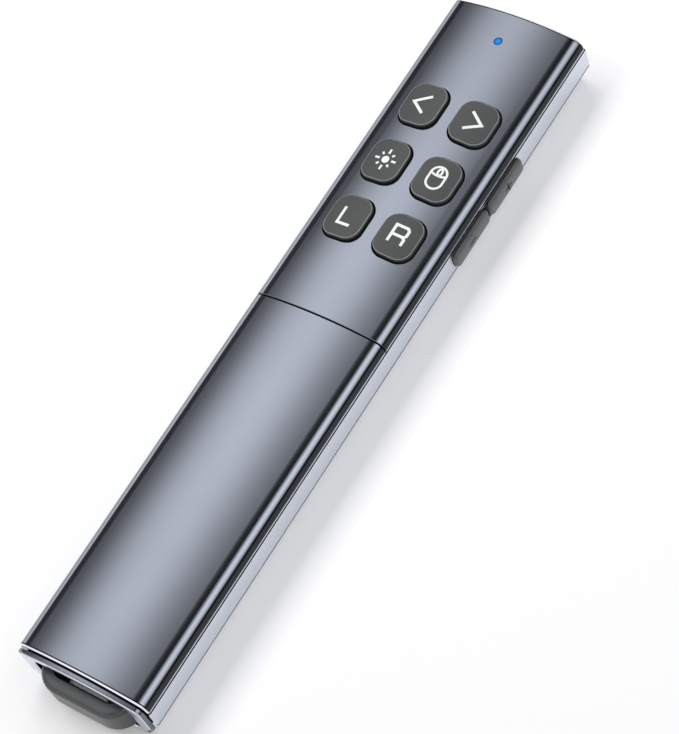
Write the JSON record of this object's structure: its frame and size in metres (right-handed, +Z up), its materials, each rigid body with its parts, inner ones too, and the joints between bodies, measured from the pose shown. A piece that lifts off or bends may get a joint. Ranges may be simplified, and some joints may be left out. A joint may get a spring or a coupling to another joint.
{
  "type": "wireless presentation clicker",
  "caption": "Slim metal presentation clicker with front keys, side keys, a laser in the head and a two-plug receiver with a swinging loop that parks in the tail.",
  "frame": {"origin": "on the flat underside, halfway between the ends of the metal covers and midway across", "axes": "+X towards the side keys, +Y along the body towards the laser end, +Z up through the front keys"},
  "size_m": [0.0273, 0.1386, 0.0125],
  "materials": {
    "base_metal": "satin, pale lavender silver",
    "cover_metal": "satin metallic gunmetal",
    "cap_metal": "satin with bright edges",
    "dark_plastic": "fine matte dark grey",
    "key_plastic": "smooth matte dark grey",
    "switch_plastic": "moulded black",
    "plunger_plastic": "moulded ivory",
    "board": "green solder mask",
    "chip": "moulded black",
    "plug_metal": "bright nickel plate",
    "plug_plastic": "moulded black",
    "contact_gold": "gold plate",
    "steel": "turned steel",
    "brass": "turned brass",
    "clear": "clear",
    "cell_wrap": "laminate pouch",
    "led_plastic": "moulded clear body",
    "blue_light": "clear, lit blue"
  },
  "bodies": {
    "handset": {"base_shell": "base_metal", "front_cover": "cover_metal", "rear_cover": "cover_metal", "tail_cap": "cap_metal", "receiver_dock": "dark_plastic", "volume_up_switch": "switch_plastic", "volume_down_switch": "switch_plastic", "power_switch": "dark_plastic", "charge_port_shell": "plug_metal", "charge_port_tongue": "plug_plastic", "laser_barrel": "brass", "laser_diode": "brass", "laser_lens": "clear", "laser_window": "clear", "main_board": "board", "board_screws": "steel", "controller_chip": "chip", "charger_chip": "chip", "status_led": "led_plastic", "light_pipe": "blue_light", "battery_cell": "cell_wrap", "battery_pad": "dark_plastic", "battery_tabs": "plug_metal", "switch_key_previous": "switch_plastic", "switch_key_next": "switch_plastic", "switch_key_laser": "switch_plastic", "switch_key_mouse": "switch_plastic", "switch_key_left": "switch_plastic", "switch_key_right": "switch_plastic"},
    "key_previous": {"key_previous": "key_plastic", "plunger_key_previous": "plunger_plastic"},
    "key_next": {"key_next": "key_plastic", "plunger_key_next": "plunger_plastic"},
    "key_laser": {"key_laser": "key_plastic", "plunger_key_laser": "plunger_plastic"},
    "key_mouse": {"key_mouse": "key_plastic", "plunger_key_mouse": "plunger_plastic"},
    "key_left": {"key_left": "key_plastic", "plunger_key_left": "plunger_plastic"},
    "key_right": {"key_right": "key_plastic", "plunger_key_right": "plunger_plastic"},
    "volume_up": {"volume_up_key": "key_plastic", "volume_up_plunger": "plunger_plastic"},
    "volume_down": {"volume_down_key": "key_plastic", "volume_down_plunger": "plunger_plastic"},
    "power_knob": {"power_knob": "dark_plastic"},
    "receiver": {"a_plug_shell": "plug_metal", "a_plug_tongue": "plug_plastic", "a_plug_contacts": "contact_gold", "c_plug_shell": "plug_metal", "c_plug_core": "plug_plastic", "receiver_case": "dark_plastic", "receiver_board": "board", "loop_pins": "steel"},
    "loop": {"receiver_loop": "dark_plastic"}
  },
  "joints": [
    {"name": "press_previous", "type": "slide", "parent": "handset", "child": "key_previous", "axis": [0, 0, -1], "range_m": [0, 0.0003], "stiffness_N_per_m": 800, "springref_m": -0.0005},
    {"name": "press_next", "type": "slide", "parent": "handset", "child": "key_next", "axis": [0, 0, -1], "range_m": [0, 0.0003], "stiffness_N_per_m": 800, "springref_m": -0.0005},
    {"name": "press_laser", "type": "slide", "parent": "handset", "child": "key_laser", "axis": [0, 0, -1], "range_m": [0, 0.0003], "stiffness_N_per_m": 800, "springref_m": -0.0005},
    {"name": "press_mouse", "type": "slide", "parent": "handset", "child": "key_mouse", "axis": [0, 0, -1], "range_m": [0, 0.0003], "stiffness_N_per_m": 800, "springref_m": -0.0005},
    {"name": "press_left", "type": "slide", "parent": "handset", "child": "key_left", "axis": [0, 0, -1], "range_m": [0, 0.0003], "stiffness_N_per_m": 800, "springref_m": -0.0005},
    {"name": "press_right", "type": "slide", "parent": "handset", "child": "key_right", "axis": [0, 0, -1], "range_m": [0, 0.0003], "stiffness_N_per_m": 800, "springref_m": -0.0005},
    {"name": "press_volume_up", "type": "slide", "parent": "handset", "child": "volume_up", "axis": [-1, 0, 0], "range_m": [0, 0.0003], "stiffness_N_per_m": 800, "springref_m": -0.0005},
    {"name": "press_volume_down", "type": "slide", "parent": "handset", "child": "volume_down", "axis": [-1, 0, 0], "range_m": [0, 0.0003], "stiffness_N_per_m": 800, "springref_m": -0.0005},
    {"name": "power_slide", "type": "slide", "parent": "handset", "child": "power_knob", "axis": [0, 1, 0], "range_m": [0, 0.0025]},
    {"name": "receiver_slide", "type": "slide", "parent": "handset", "child": "receiver", "axis": [0, -1, 0], "range_m": [0, 0.06]},
    {"name": "loop_swing", "type": "hinge", "parent": "receiver", "child": "loop", "pos_m": [0, -0.059, 0.0046], "axis": [-1, 0, 0], "range_deg": [0, 150]}
  ],
  "couplings": [
    {"joint": "loop_swing", "follows": "receiver_slide", "rad_per_m": 43.6}
  ]
}
